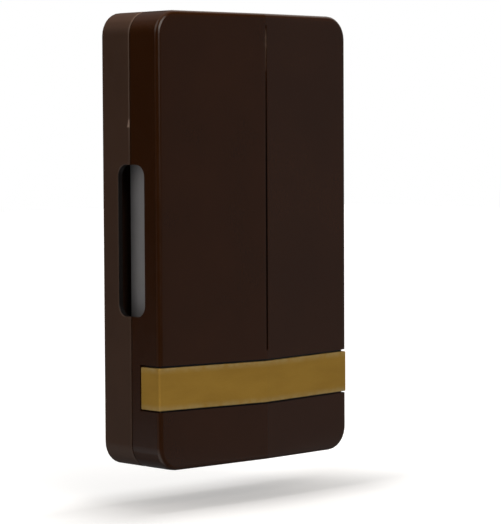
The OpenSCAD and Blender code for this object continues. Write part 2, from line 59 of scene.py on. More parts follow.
# Turns of a corner's points; the cover's groove ends between the third and the fourth.
corner_turn = np.radians([12, 22, 33.37, 38.68, 50, 62, 75, 90])


def quarter(steps):
    """Angles from 0 to a right angle."""
    return np.linspace(0, np.pi / 2, steps + 1)


def loft(loops, wear=0.0, closed=True):
    """Quads between neighbouring loops, an (m, n, 3) array. A closed loop's last point joins its first.
    wear is one value, one for each loop or one for each point: 0 for a flat, up to 1 for a rubbed edge, more
    for a painted highlight, and below 0 for painted shade."""
    loops = np.asarray(loops, float)
    count, size = loops.shape[:2]
    index = np.arange(count * size).reshape(count, size)
    if closed:
        index = np.column_stack([index, index[:, 0]])
    faces = np.stack([index[:-1, :-1], index[:-1, 1:], index[1:, 1:], index[1:, :-1]], -1)
    wear = np.reshape(wear, (-1, 1)) if np.ndim(wear) < 2 else wear
    rubbed_and_highlight = np.broadcast_to(wear, (count, size))
    return loops.reshape(-1, 3), faces.reshape(-1, 4).tolist(), rubbed_and_highlight.ravel()


def cap(loop):
    """One face that closes a flat convex loop."""
    return np.asarray(loop, float), [list(range(len(loop)))], np.zeros(len(loop))


def circle(centre, radius, depth, sides=48):
    """A round loop in a plane of equal depth: centre plus radius times the cosine and sine of even turns."""
    turn = 2 * np.pi * np.arange(sides) / sides
    return np.column_stack([centre[0] + radius * np.cos(turn), np.full(sides, depth),
                            centre[1] + radius * np.sin(turn)])


def turned(profile, centre, sides=48):
    """A profile of (radius, depth) turned round a line along the depth; radius 0 closes it in a pole."""
    return loft([circle(centre, radius, depth, sides) for radius, depth in profile])


def round_rect(centre, half, radius, depth, steps=4):
    """A round-cornered rectangle in a plane of equal depth: a quarter circle round each corner's middle."""
    turn = np.concatenate([quarter(steps) + k * np.pi / 2 for k in range(4)])
    side = np.repeat([[1, 1], [-1, 1], [-1, -1], [1, -1]], steps + 1, axis=0)
    place = np.asarray(centre) + side * (np.asarray(half) - radius)
    place = place + radius * np.column_stack([np.cos(turn), np.sin(turn)])
    return np.column_stack([place[:, 0], np.full(len(place), depth), place[:, 1]])


def holed_face(loops):
    """The flat face inside the first loop and outside the others, which are convex and lie in its plane."""
    points = np.concatenate([loop[:, [0, 2]] for loop in loops])
    starts = np.cumsum([0] + [len(loop) for loop in loops])
    edges = [(a + k, a + (k + 1) % (b - a)) for a, b in zip(starts, starts[1:]) for k in range(b - a)]
    flat, _, faces, *_ = delaunay_2d_cdt([Vector(p) for p in points.tolist()], edges, [], 0, 1e-4)
    flat, faces = np.array([tuple(p) for p in flat]), np.array(faces)
    middle = flat[faces].mean(1)
    keep = np.ones(len(faces), bool)
    for loop in loops[1:]:
        here, there = loop[:, [0, 2]], np.roll(loop[:, [0, 2]], -1, 0)
        side = there - here
        gap = middle[:, None] - here[None]
        turn = side[None, :, 0] * gap[:, :, 1] - side[None, :, 1] * gap[:, :, 0]
        keep &= ~((turn > -1e-6).all(1) | (turn < 1e-6).all(1))
    place = np.column_stack([flat[:, 0], np.full(len(flat), loops[0][0, 1]), flat[:, 1]])
    return place, faces[keep].tolist(), np.zeros(len(place))


def new_piece(name, patches, crisp=33):
    """One mesh from patches of points, faces, and wear with painted light. Points that meet are joined, each
    closed part's faces are turned outwards, and edges sharper than crisp degrees stay sharp."""
    starts = np.cumsum([0] + [len(points) for points, _, _ in patches])
    place = np.concatenate([points for points, _, _ in patches]) * [1, -1, 1] / 1000
    faces = [[k + start for k in face] for start, (_, part, _) in zip(starts, patches) for face in part]
    mesh = bpy.data.meshes.new(name)
    mesh.from_pydata(place.tolist(), [], faces)
    wear = mesh.attributes.new("wear", "FLOAT", "POINT")
    wear.data.foreach_set("value", np.concatenate([w for _, _, w in patches]).astype(np.float32))
    work = bmesh.new()
    work.from_mesh(mesh)
    bmesh.ops.remove_doubles(work, verts=work.verts, dist=2e-6)
    bmesh.ops.dissolve_degenerate(work, edges=work.edges, dist=1e-7)
    bmesh.ops.recalc_face_normals(work, faces=work.faces)
    work.to_mesh(mesh)
    work.free()
    mesh.shade_smooth()
    mesh.set_sharp_from_angle(angle=math.radians(crisp))
    piece = bpy.data.objects.new(name, mesh)
    bpy.context.scene.collection.objects.link(piece)
    piece.modifiers.new("even shading", "WEIGHTED_NORMAL").keep_sharp = True
    return piece


def slot_rows(reach, rim):
    """Rows up one side wall past its slot: height, depth of the wall's edge, and the direction from that edge
    into the wall, in height and depth. The slot's corners are quarter circles, and it opens at the rim."""
    way = 1 if reach > rim else -1
    turn = quarter(6)
    height = slot_straight + slot_r * np.sin(turn)
    depth = reach - way * slot_r * (1 - np.cos(turn))
    upper = np.column_stack([height, depth, np.sin(turn), way * np.cos(turn)])
    upper = np.vstack([upper, [slot_straight + slot_r, rim, 1, way]])
    return np.vstack([upper[::-1] * [-1, 1, -1, 1], upper])


class Outline:
    """The housing's outline as stations, once round: up the left side on the given rows, along the top on the
    given columns, and back down the right side and along the bottom. An inset draws a line in evenly."""

    def __init__(self, rows, columns, rim, way):
        core = np.array([end_half, side_half])
        arc = np.column_stack([-np.cos(corner_turn), np.sin(corner_turn)])
        side = np.column_stack([np.full(len(rows), -core[0]), rows[:, 0]])
        corner = np.broadcast_to(core * [-1, 1], arc.shape)
        left = np.vstack([(corner * [1, -1])[::-1], side, corner])
        out = np.vstack([(arc * [1, -1])[::-1], np.broadcast_to([-1.0, 0.0], side.shape), arc])
        plain = np.broadcast_to([rim, 0, way], (len(arc), 3))
        edge = np.vstack([plain, rows[:, 1:4], plain])
        top = np.column_stack([columns, np.full(len(columns), core[1])])
        up = np.broadcast_to([0.0, 1.0], top.shape)
        end_edge = np.broadcast_to([rim, 0, way], (len(top), 3))
        mirror, flip = np.array([-1, 1]), np.array([1, -1])
        self.middle = np.vstack([left, top, (left * mirror)[::-1], (top * flip)[::-1]])
        self.out = np.vstack([out, up, (out * mirror)[::-1], (up * flip)[::-1]])
        self.edge, self.edge_z, self.edge_d = np.vstack([edge, end_edge, edge[::-1], end_edge]).T
        self.rows, self.columns = len(left), len(top)

    def per_station(self, side, end):
        """One value for each station, from values for the left side's rows and the top's columns."""
        return np.concatenate([side, end, side[::-1], end[::-1]])

    def line(self, inset, depth, lift=0.0):
        """The outline drawn in by inset, at a depth: each station's middle plus its way out times the corner
        radius less the inset, with side rows moved by lift from their edge."""
        place = self.middle + self.out * (corner_r - np.broadcast_to(inset, len(self.out)))[:, None]
        return np.column_stack([place[:, 0], np.broadcast_to(depth, len(place)),
                                place[:, 1] + self.edge_z * lift])

    def rim_lines(self, radius, steps=3):
        """A quarter round from the wall over the rim, which follows the slots' edges."""
        return [self.line(radius * (1 - np.cos(a)), self.edge + self.edge_d * radius * (1 - np.sin(a)),
                          radius * (1 - np.sin(a))) for a in quarter(steps)]


# Rows for a small painted glint, a pale spot on the rim above the left slot, then the whole outline.
glint_z = np.array([46.6, 47.3, 49.8, 50.8])
glint_rows = np.column_stack([glint_z, np.tile([box_rim, 0, -1], (len(glint_z), 1))])
box_rows = np.vstack([[-side_half, box_rim, 0, -1], slot_rows(box_slot_depth, box_rim), glint_rows,
                      [side_half, box_rim, 0, -1]])
box = Outline(box_rows, np.linspace(-end_half, end_half, 11)[1:-1], box_rim, -1)
rear_round, box_rim_round, floor_round, lip_chamfer = 0.5, 0.5, 0.8, 0.2
slot_corner_depth = box_slot_depth + slot_r
lip = np.where(box.edge >= box_rim, lip_top, box.edge)
lip_side = np.where(box.edge >= box_rim, lip_top - lip_chamfer, box.edge)
rear_lines = [box.line(rear_round * (1 - np.sin(a)), rear_round * (1 - np.cos(a)), box_rim_round)
              for a in quarter(4)]
floor_lines = [box.line(wall + floor_round * (1 - np.cos(a)), back_wall + floor_round * (1 - np.sin(a)))
               for a in quarter(4)]
box_lines = [
    *rear_lines,
    box.line(0, np.minimum(slot_corner_depth, box.edge + box.edge_d * box_rim_round), box_rim_round),
    *box.rim_lines(box_rim_round),
    box.line(lip_inset, box.edge),
    box.line(lip_inset, lip_side),
    box.line(lip_inset + lip_chamfer, lip),
    box.line(wall - lip_chamfer, lip),
    box.line(wall, lip_side),
    box.line(wall, np.minimum(slot_corner_depth, box.edge)),
    *floor_lines]
# The rear edge is rubbed. The rim is rubbed and painted paler as a painted highlight, most above the slots;
# # the slots' walls are painted dark as painted shade, and the painted glint is widest at its foot.
rear_edge, rim_foot, rim_edge, slot_wall = 2, 6, slice(7, 9), slice(8, 16)
box_wear_and_painted_light = np.zeros((len(box_lines), len(box.edge)))
box_wear_and_painted_light[rear_edge], box_wear_and_painted_light[rim_edge] = 1, 1.1
box_wear_and_painted_light[rim_edge, box.middle[:, 1] > slot_straight + slot_r] = 1.3
# The slots' walls are painted dark: painted shade.
box_wear_and_painted_light[slot_wall, box.edge < box_rim] = -1.1
# A pale spot on the left rim is a painted glint.
glint_stations = (box.middle[:, 0] < 0) & np.isin(box.middle[:, 1], glint_z[1:3])
box_wear_and_painted_light[rim_edge, glint_stations], box_wear_and_painted_light[rim_foot, glint_stations] = 2, [2.2, 1.3]

wall_hole_r, inlet_hole_r, inlet_recess_r, inlet_recess_d = 2.3, 5.6, 7.7, 1.1
wall_holes, inlet = [(0, 80), (0, -80)], (0, -63)
boss_r, boss_root, pilot_r, pilot_d = 3.8, 0.5, 1.35, 4.1
bosses = [((-34.5, 45.264), 6.1), ((-34.5, -45.264), 6.1), ((34.5, 40.296), 6.1), ((34.5, -40.296), 6.1),
          ((0, 15.4), 6.5), ((0, -15.4), 6.5)]
pad_middle, pad_half, pad_top, pad_r, pad_root, pad_hollow = (0, -42), (12, 8), 5.6, 0.8, 0.4, 0.12
chamfer = 0.2
pad_profile = [(pad_root, back_wall), (pad_hollow, back_wall + pad_hollow), (0, back_wall + pad_root),
               (0, pad_top - chamfer), (-chamfer, pad_top)]
pad_lines = [round_rect(pad_middle, np.add(pad_half, out), pad_r + out, depth) for out, depth in pad_profile]
box_patches = [
    loft(box_lines, box_wear_and_painted_light),
    holed_face([rear_lines[0], *(circle(c, wall_hole_r + chamfer, 0) for c in wall_holes),
                circle(inlet, inlet_recess_r, 0)]),
    holed_face([floor_lines[-1], *(circle(c, wall_hole_r, back_wall) for c in wall_holes),
                circle(inlet, inlet_hole_r, back_wall), pad_lines[0],
                *(circle(c, boss_r + boss_root, back_wall) for c, _ in bosses)]),
    *(turned([(wall_hole_r + chamfer, 0), (wall_hole_r, chamfer), (wall_hole_r, back_wall)], c)
      for c in wall_holes),
    turned([(inlet_recess_r, 0), (inlet_recess_r, inlet_recess_d), (inlet_hole_r, inlet_recess_d),
            (inlet_hole_r, back_wall)], inlet),
    loft(pad_lines), cap(pad_lines[-1])]
boss_foot = [(boss_r + boss_root * (1 - np.sin(a)), back_wall + boss_root * (1 - np.cos(a)))
             for a in quarter(4)]
for middle, top in bosses:
    box_patches.append(turned(boss_foot + [
        (boss_r, top - chamfer), (boss_r - chamfer, top), (pilot_r + chamfer, top), (pilot_r, top - chamfer),
        (pilot_r, top - pilot_d), (0, top - pilot_d)], middle))
back_box = new_piece("back_box_moulding", box_patches)


class Value:
    """A shader socket in Python sums: each operator adds one Math node."""

    def __init__(self, tree, socket):
        self.tree, self.socket = tree, socket

    def sum(self, operation, *terms):
        """One Math node of that operation, on sockets and numbers."""
        node = self.tree.nodes.new("ShaderNodeMath")
        node.operation = operation
        for entry, term in zip(node.inputs, terms):
            if isinstance(term, Value):
                self.tree.links.new(term.socket, entry)
            else:
                entry.default_value = term
        return Value(self.tree, node.outputs[0])

    def __add__(self, other):
        return self.sum("ADD", self, other)

    def __sub__(self, other):
        return self.sum("SUBTRACT", self, other)

    def __rsub__(self, other):
        return self.sum("SUBTRACT", other, self)

    def __mul__(self, other):
        return self.sum("MULTIPLY", self, other)

    __radd__, __rmul__ = __add__, __mul__


class Finish:
    """A node tree that is being written: a material's, or the studio's."""

    def __init__(self, tree):
        self.tree = tree
        tree.nodes.clear()

    def add(self, kind, settings=(), sockets=(), output=0):
        """A node of a kind: its settings first, then the values or links of its sockets. A ramp's setting
        stops is a list of (place, value or colour)."""
        node = self.tree.nodes.new("ShaderNode" + kind)
        for key, value in dict(settings).items():
            if key == "stops":
                ramp = node.color_ramp
                while len(ramp.elements) < len(value):
                    ramp.elements.new(1)
                for element, (place, tone) in zip(ramp.elements, value):
                    element.position = place
                    element.color = (*tone, 1) if np.ndim(tone) else (tone, tone, tone, 1)
            else:
                setattr(node, key, value)
        for key, value in dict(sockets).items():
            if isinstance(value, Value):
                self.tree.links.new(value.socket, node.inputs[key])
            else:
                node.inputs[key].default_value = value
        return Value(self.tree, node.outputs[output]) if node.outputs else None

    def blend(self, share, first, second):
        """A colour between two, by share."""
        tones = [t if isinstance(t, Value) else (*t, 1) for t in (first, second)]
        return self.add("Mix", {"data_type": "RGBA"}, {0: share, 6: tones[0], 7: tones[1]}, 2)

    def noise(self, scale, detail=3.0, stretch=(1, 1, 1), low=0.35, high=0.65):
        """Noise on the piece's own coordinates, in features a metre, spread from 0 to 1."""
        place = self.add("TexCoord", output=3)
        place = self.add("Mapping", {}, {"Vector": place, "Scale": stretch})
        cloud = self.add("TexNoise", {}, {"Vector": place, "Scale": scale, "Detail": detail})
        return self.add("MapRange", {"clamp": True}, {"Value": cloud, "From Min": low, "From Max": high})

    def wear(self):
        """The wear and painted light, highlights and shade, that the piece's patches gave each point."""
        return self.add("Attribute", {"attribute_name": "wear"}, output=2)

    def surface(self, height=None, lift=0.0, **sockets):
        """Ends the tree in a Principled surface, with a bump of lift metres where a height is given."""
        if height is not None:
            sockets["Normal"] = self.add("Bump", {}, {"Height": height, "Distance": lift})
        entries = {key.replace("_", " "): value for key, value in sockets.items()}
        shader = self.add("BsdfPrincipled", {}, entries)
        self.add("OutputMaterial", {}, {"Surface": shader})


def new_finish(name):
    """A new material with an empty tree, and its writer."""
    material = bpy.data.materials.new(name)
    material.use_nodes = True
    return material, Finish(material.node_tree)


def moulded_brown(name, dark, light, gloss):
    """Gloss plastic: slow shifts of tone, a polish that varies, a faint ripple, and paler rubbed edges where
    the wear is up to one, which on the rim also paint a highlight. Above one it paints a pale highlight, and
    below zero it paints shade."""
    material, finish = new_finish(name)
    tone = finish.blend(finish.noise(28, 4), dark, light)
    polish = finish.noise(240, 5)
    hairlines = finish.noise(240, 2, (1, 5, 12), 0.56, 0.8)
    wear = finish.wear()
    rubbed_and_highlight = wear.sum("MAXIMUM", wear, 0.0) * finish.noise(420, 4, low=0.42, high=0.7)
    painted_highlight = wear.sum("MAXIMUM", wear - 1.0, 0.0)
    painted_shade = wear.sum("MAXIMUM", 0.0 - wear, 0.0)
    # The first tone is rubbed plastic and also paints highlights, the second paints highlights, the third
    # paints shade.
    pale, highlight_tone, shade_tone = (0.11, 0.06, 0.035), (0.40, 0.275, 0.21), (0.004, 0.002, 0.0015)
    tone = finish.blend(painted_highlight, finish.blend(rubbed_and_highlight * 0.3, tone, pale), highlight_tone)
    finish.surface(finish.noise(1500, 2), 0.000006, Base_Color=finish.blend(painted_shade * 0.9, tone, shade_tone),
                   Roughness=gloss + polish * 0.05 + hairlines * 0.02 + rubbed_and_highlight * 0.1)
    return material


box_brown = moulded_brown("box_brown", (0.058, 0.026, 0.0130), (0.068, 0.031, 0.0160), 0.38)
back_box.data.materials.append(box_brown)
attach(back_box, "wall_box")
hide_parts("back_box")


# Cable grommet. A black rubber bush that is pushed into the inlet in the back wall and keeps the plastic's
# edge off the bell cable; its outer flange lies flush in a recess so that the box still sits flat.
def dress(material, *nodes, edge=0.0):
    """Gives CAD nodes a material, and rounds their sharp edges by a radius in millimetres. Modifiers join a
    node's loose triangles and its flats first, and its mesh stays as it is."""
    for name in nodes:
        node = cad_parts[name]
        node.data.materials.clear()
        node.data.materials.append(material)
        if edge:
            node.modifiers.new("joined points", "WELD").merge_threshold = 2e-6
            joined = node.modifiers.new("joined flats", "DECIMATE")
            joined.decimate_type, joined.angle_limit = "DISSOLVE", math.radians(1)
            bevel = node.modifiers.new("soft edges", "BEVEL")
            bevel.width, bevel.segments = edge / 1000, 2
            bevel.limit_method, bevel.angle_limit = "ANGLE", math.radians(40)
            bevel.use_clamp_overlap = False
            node.modifiers.new("even shading", "WEIGHTED_NORMAL").keep_sharp = True


black_rubber, finish = new_finish("black_rubber")
bloom = finish.noise(130, 4)
finish.surface(finish.noise(2600, 3), 0.00002,
               Base_Color=finish.blend(bloom, (0.011, 0.011, 0.012), (0.026, 0.025, 0.024)),
               Roughness=0.62 + bloom * 0.2)
dress(black_rubber, "cable_grommet", edge=0.25)


# Bar brackets. Four angle brackets moulded in white nylon, one at each still point of the two bars; each is
# screwed to its boss by the foot, and its headed peg carries the bar's grommet.
white_nylon, finish = new_finish("white_nylon")
milky = finish.noise(160, 4)
finish.surface(finish.noise(2200, 2), 0.00001,
               Base_Color=finish.blend(milky, (0.70, 0.66, 0.56), (0.80, 0.77, 0.68)),
               Roughness=0.38 + milky * 0.12, Subsurface_Weight=0.12, Subsurface_Scale=0.001)
bar_mounts = ["long_upper", "long_lower", "short_upper", "short_lower"]
dress(white_nylon, *("bar_bracket_" + mount for mount in bar_mounts), edge=0.3)


# Bracket screws. Four small zinc-plated screws with crossed recesses, through the bracket feet into the
# bosses of the back box.
zinc_plate, finish = new_finish("zinc_plate")
spangle = finish.noise(520, 3)
finish.surface(finish.noise(1900, 3), 0.000003,
               Base_Color=finish.blend(spangle, (0.66, 0.66, 0.67), (0.72, 0.72, 0.74)),
               Roughness=0.34 + spangle * 0.06, Metallic=1.0)
dress(zinc_plate, "bracket_screws", edge=0.15)


# Bar grommets. Four waisted bushes moulded in black rubber, snapped into the bars' holes and pushed over the
# brackets' headed pegs, so that a bar rings freely on its pegs.
dress(black_rubber, *("bar_grommet_" + mount for mount in bar_mounts), edge=0.4)


# Tone bars. Two flat bars of cold-drawn steel, cut to the length of their notes, brushed lengthwise and left
# bare; they hang on edge behind the sound slots, the long one on the left.
tone_steel, finish = new_finish("tone_steel")
brushed = finish.noise(150, 4, (30, 30, 1), 0.3, 0.7)
stain = finish.noise(70, 5, low=0.45, high=0.75)
finish.surface(brushed, 0.000012,
               Base_Color=finish.blend(stain * 0.5, (0.44, 0.44, 0.46), (0.34, 0.335, 0.33)),
               Roughness=0.42 + brushed * 0.12 + stain * 0.1, Metallic=0.55)
dress(tone_steel, "long_tone_bar", "short_tone_bar", edge=0.35)


# Yoke frame and its two screws. A strip of zinc-plated steel bent to a channel round the coil, which closes
# the magnet's path; two ears are screwed to the back box.
dress(zinc_plate, "yoke_frame", edge=0.25)
dress(zinc_plate, "yoke_screws", edge=0.15)


# Coil bobbin. One white nylon moulding, a tube with two square flanges, that fits between the yoke's ends;
# the winding lies on it and the plunger slides in its bore.
dress(white_nylon, "coil_bobbin", edge=0.25)


# Coil winding. Enamelled copper wire wound on the bobbin in neat layers; only the top layer can be told
# apart, as ridges side by side along a fine helix.
axis_depth, coil_half, tube_r, coil_r = 18.0, 17.9, 5.5, 9.1
winding_pitch, winding_sides, winding_steps, wire_round = 0.5, 40, 6, 0.9


def round_x(x, radius, turn):
    """Points round the plunger's line: depth is the line's less radius times cos turn, and height is radius
    times sin turn. x and radius vary along the first way, turn along the second."""
    x, radius = np.broadcast_arrays(x, radius)
    return np.stack([x, axis_depth - radius * np.cos(turn), radius * np.sin(turn)], -1)


winding_turn = 2 * np.pi * np.arange(winding_sides) / winding_sides
winding_x = np.linspace(-coil_half, coil_half, int(2 * coil_half / winding_pitch * winding_steps))[:, None]
across = (winding_x / winding_pitch + winding_turn / (2 * np.pi)) % 1 * 2 - 1
ridge = coil_r - winding_pitch / 2 * (1 - np.sqrt(1 - wire_round * across ** 2))
winding_ends = np.array([[-coil_half], [coil_half]])
bore = round_x(winding_ends + np.zeros_like(winding_turn), tube_r + np.zeros((2, winding_sides)),
               winding_turn)
outer = round_x(winding_x + np.zeros_like(winding_turn), ridge, winding_turn)
winding = new_piece("coil_winding_turns", [loft([bore[0], *outer, bore[1], bore[0]])], crisp=60)
copper_enamel, finish = new_finish("copper_enamel")
varnish = finish.noise(300, 4)
finish.surface(None, Base_Color=finish.blend(varnish, (0.42, 0.15, 0.055), (0.58, 0.25, 0.10)),
               Roughness=0.25 + varnish * 0.15, Metallic=0.9, Coat_Weight=0.4)
winding.data.materials.append(copper_enamel)
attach(winding, "wall_box")
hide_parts("coil_winding")


# Coil tape. One and a bit turns of amber polyester tape, stuck round the winding; the loose end makes a
# small step along the coil, and the tape is a little wavy over the wires below.
tape_r, tape_half, tape_layer, tape_overlap, tape_start = 9.4, 17.8, 0.13, 0.7, 0.4
tape_inset, tape_climb, tape_seat, ripple, ripples = 0.02, 0.14, 0.16, 0.012, 9
wrap = np.linspace(0, 2 * np.pi + tape_overlap, 150)
outside = tape_r - tape_inset - tape_climb * (1 - wrap / wrap[-1]) + ripple * np.sin(ripples * wrap)
inside = np.minimum(outside - tape_layer, tape_r - tape_seat)
section_x = np.array([-tape_half, -tape_half, tape_half, tape_half])
section_r = np.stack([inside, outside, outside, inside], 1)
tape_sections = round_x(section_x + np.zeros_like(section_r), section_r, wrap[:, None] + tape_start)
tape = new_piece("coil_tape_wrap", [loft(tape_sections), cap(tape_sections[0]), cap(tape_sections[-1])])
amber_tape, finish = new_finish("amber_tape")
streak = finish.noise(40, 4, (30, 1, 1))
finish.surface(streak, 0.00002,
               Base_Color=finish.blend(streak, (0.52, 0.27, 0.03), (0.66, 0.40, 0.07)),
               Roughness=0.2 + streak * 0.12, Coat_Weight=0.3)
tape.data.materials.append(amber_tape)
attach(tape, "wall_box")
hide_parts("coil_tape")


# Plunger rod. A turned rod of zinc-plated steel that the coil pulls to the right; it has a spigot at each
# end for a striker tip, and a groove for the spring's clip.
dress(zinc_plate, "plunger_rod", edge=0.2)


# Striker tips. Two domed caps moulded in white nylon and pressed on the spigots at the rod's ends; they are
# softer than steel, so that the bars ring and don't clank.
dress(white_nylon, "striker_tip_left", "striker_tip_right", edge=0.2)


# Spring clip. An open ring of spring steel that snaps into the rod's groove; the return spring's outer end
# rests on it and moves with the rod.
spring_steel, finish = new_finish("spring_steel")
drawn = finish.noise(380, 3)
finish.surface(None, Base_Color=finish.blend(drawn, (0.36, 0.35, 0.35), (0.50, 0.49, 0.48)),
               Roughness=0.28 + drawn * 0.14, Metallic=1.0)
dress(spring_steel, "spring_clip", edge=0.12)


# Return spring. Six turns of drawn spring wire round the rod, between its clip and the yoke, built in one
# # shape here; on the chime its ends bear on the clip and the yoke, so its turns close up as the plunger
# moves.
spring_x, spring_r, spring_wire_r, spring_turns = (-33.9, -21.5), 5.25, 0.3, 6
spring_steps, spring_sides = 32, 10


def tube(path, radius, sides):
    """A round tube along a path (n, 3): rings on two normals, the cross of the path's direction with X, and
    the normal to both. Each end is rounded by rings that shrink as they go on beyond the path."""
    along = np.gradient(path, axis=0)
    along /= np.linalg.norm(along, axis=1)[:, None]
    side = np.cross(along, [1.0, 0.0, 0.0])
    side /= np.linalg.norm(side, axis=1)[:, None]
    turn = 2 * np.pi * np.arange(sides) / sides
    ring = (np.cos(turn)[None, :, None] * side[:, None]
            + np.sin(turn)[None, :, None] * np.cross(along, side)[:, None])
    ends = np.array([[1.0, 0.0], [0.92, 0.38], [0.7, 0.7], [0.38, 0.92], [0.0, 1.0]])
    first = [path[0] - along[0] * radius * out + ring[0] * radius * share for share, out in ends[:0:-1]]
    last = [path[-1] + along[-1] * radius * out + ring[-1] * radius * share for share, out in ends[1:]]
    return loft([*first, *(path[:, None] + ring * radius), *last])


spring_turn = np.linspace(0, 2 * np.pi * spring_turns, spring_steps * spring_turns + 1)
spring_path = np.column_stack([np.linspace(*spring_x, len(spring_turn)),
                               axis_depth - spring_r * np.cos(spring_turn), spring_r * np.sin(spring_turn)])
spring = new_piece("return_spring_wire", [tube(spring_path, spring_wire_r, spring_sides)], crisp=60)
spring.data.materials.append(spring_steel)
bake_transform(spring)
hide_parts("return_spring")


# Terminal block. A dark moulded block on a pad of the back box, with two open poles for the bell cable's
# cores; one screw through its middle holds it down.
block_plastic, finish = new_finish("block_plastic")
speckle = finish.noise(900, 3)
finish.surface(finish.noise(3200, 2), 0.00002,
               Base_Color=finish.blend(speckle, (0.030, 0.027, 0.025), (0.055, 0.050, 0.046)),
               Roughness=0.42 + speckle * 0.14)
dress(block_plastic, "terminal_block", edge=0.3)
dress(zinc_plate, "terminal_fixing_screw", edge=0.15)


# Terminal clamps and screws. Two cages cut from brass inside the block's poles, and two zinc-plated slotted
# screws through their tops that press on the wires.
cut_brass, finish = new_finish("cut_brass")
lathe = finish.noise(500, 3, (1, 6, 1))
finish.surface(lathe, 0.000006, Base_Color=finish.blend(lathe, (0.55, 0.36, 0.10), (0.68, 0.48, 0.17)),
               Roughness=0.24 + lathe * 0.16, Metallic=1.0)
dress(cut_brass, "terminal_clamps", edge=0.15)
dress(zinc_plate, "terminal_screws", edge=0.15)


# Coil leads. Two short wires in soft red vinyl that come out under the tape and bend over into the terminal
# block, held at both ends; each is one cubic curve that starts and ends straight down.
lead_r, lead_start, lead_end = 0.8, (14.0, 18.0, -9.5), (6.5, 11.0, -38.0)
lead_steps, lead_sides = 40, 14
red_vinyl, finish = new_finish("red_vinyl")
dull = finish.noise(260, 3)
finish.surface(finish.noise(1800, 2), 0.00001,
               Base_Color=finish.blend(dull, (0.38, 0.030, 0.020), (0.50, 0.055, 0.035)),
               Roughness=0.4 + dull * 0.15)
along_lead = np.linspace(0, 1, lead_steps)[:, None]
rest = 1 - along_lead
lead_pull = np.array([0, 0, (lead_start[2] - lead_end[2]) / 2])
for name, side in [("left", -1), ("right", 1)]:
    first, last = np.array(lead_start) * [side, 1, 1], np.array(lead_end) * [side, 1, 1]
    lead_path = (rest ** 3 * first + 3 * rest ** 2 * along_lead * (first - lead_pull)
                 + 3 * rest * along_lead ** 2 * (last + lead_pull) + along_lead ** 3 * last)
    lead = new_piece("coil_lead_" + name + "_wire", [tube(lead_path, lead_r, lead_sides)], crisp=60)
    lead.data.materials.append(red_vinyl)
    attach(lead, "wall_box")
    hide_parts("coil_lead_" + name)


# Front cover. The second brown moulding: two flat planes that meet in a very shallow ridge right of the
# middle, a fine groove along it, the front halves of the slots, a channel for the trim band, and four
# friction tongues that push into the box. Its rim has a rebate over the box's lip.
cover_rim, lip_seat, rebate_inset = 17.65, 19.45, 1.2
front_edge, ridge_x, ridge_rise, edge_r, front_wall = 35.0, 4.7, 1.9, 2.0, 2.4
cover_slot_depth = 26.1
groove_d, groove_top, groove_foot, groove_end = 0.6, 90.0, -47.7, -48.3
groove_place, groove_share = [0.6, 0.46, 0.36, 0.0], [0.0, 0.1, 0.85, 1.0]
# The groove by height: painted shade in its middle, and a painted highlight that pales its lining towards its
# top.
groove_paint_z = [groove_foot, -slot_straight, slot_straight, 66.0, 71.0, 80.0, 85.0, 89.0]
groove_shade_and_highlight = [-0.4, -0.9, -0.9, -0.35, 1.1, 1.15, 1.35, 1.0]
band_dip, channel_d, channel_leg, rib_leg, rib_t = 0.8, 1.5, 22.9, 21.8, 0.7
rib_foot, channel_foot, band_middle, channel_top, rib_top = -72.5, -70.3, -61.0, -51.1, -49.5
inner_round, rim_round = 1.0, 0.35


def cover_row(height, dip=0, rib=0, sunk=0, groove=0):
    """A plain row up the cover's side: height, rim, direction of its edge, then its shares of the band's dip,
    the rib behind the band, the band's channel and the groove."""
    return [height, cover_rim, 0, 1, dip, rib, sunk, groove]


slot_part = slot_rows(cover_slot_depth, cover_rim)
cover_rows = np.array([
    cover_row(-side_half), cover_row(rib_foot, 1), cover_row(rib_foot, 1, 1), cover_row(channel_foot, 1, 1),
    cover_row(channel_foot, 1, 1, 1), cover_row(band_middle, 1, 1, 1), cover_row(channel_top, 1, 1, 1),
    cover_row(channel_top, 1, 1), cover_row(rib_top, 1, 1), cover_row(rib_top, 1),
    cover_row(groove_end), cover_row(groove_foot, groove=1),
    *np.column_stack([slot_part, np.zeros((len(slot_part), 3)), np.ones(len(slot_part))]),
    *(cover_row(height, groove=1) for height in groove_paint_z[3:-1])])
# Columns across the front, as shares of the way from each side to the ridge; the groove's own lie next to it.
ridge_span = ridge_x + half_width - edge_r
left_share = np.append(np.linspace(0, 0.96, 9), 1 - np.array(groove_place) / ridge_span)
right_share = np.append(np.array(groove_place[-2::-1]) / (2 * (half_width - edge_r) - ridge_span),
                        np.linspace(0.05, 1, 8))
reach = np.append(left_share, 1 - right_share)
end_x = np.append(-end_half + (ridge_x + end_half) * left_share,
                  ridge_x + (end_half - ridge_x) * right_share)
cover = Outline(cover_rows, end_x[1:-1], cover_rim, 1)
corner_none = np.zeros(len(corner_turn))
corner_groove = (corner_r - edge_r) * np.sin(corner_turn) + side_half < groove_top - 0.1
dip, rib, sunk = (np.concatenate([corner_none, column, corner_none]) for column in cover_rows[:, 4:7].T)
groove = np.concatenate([corner_none, cover_rows[:, 7], corner_groove])
no_end = np.zeros(cover.columns)
step, rib_in = channel_d * cover.per_station(sunk, no_end), rib_t * cover.per_station(rib, no_end)
front = front_edge + ridge_rise * cover.per_station(np.zeros(cover.rows), reach[1:-1])
wall_end = cover.edge + cover.edge_d * rim_round
slot_turn_depth = cover_slot_depth - slot_r


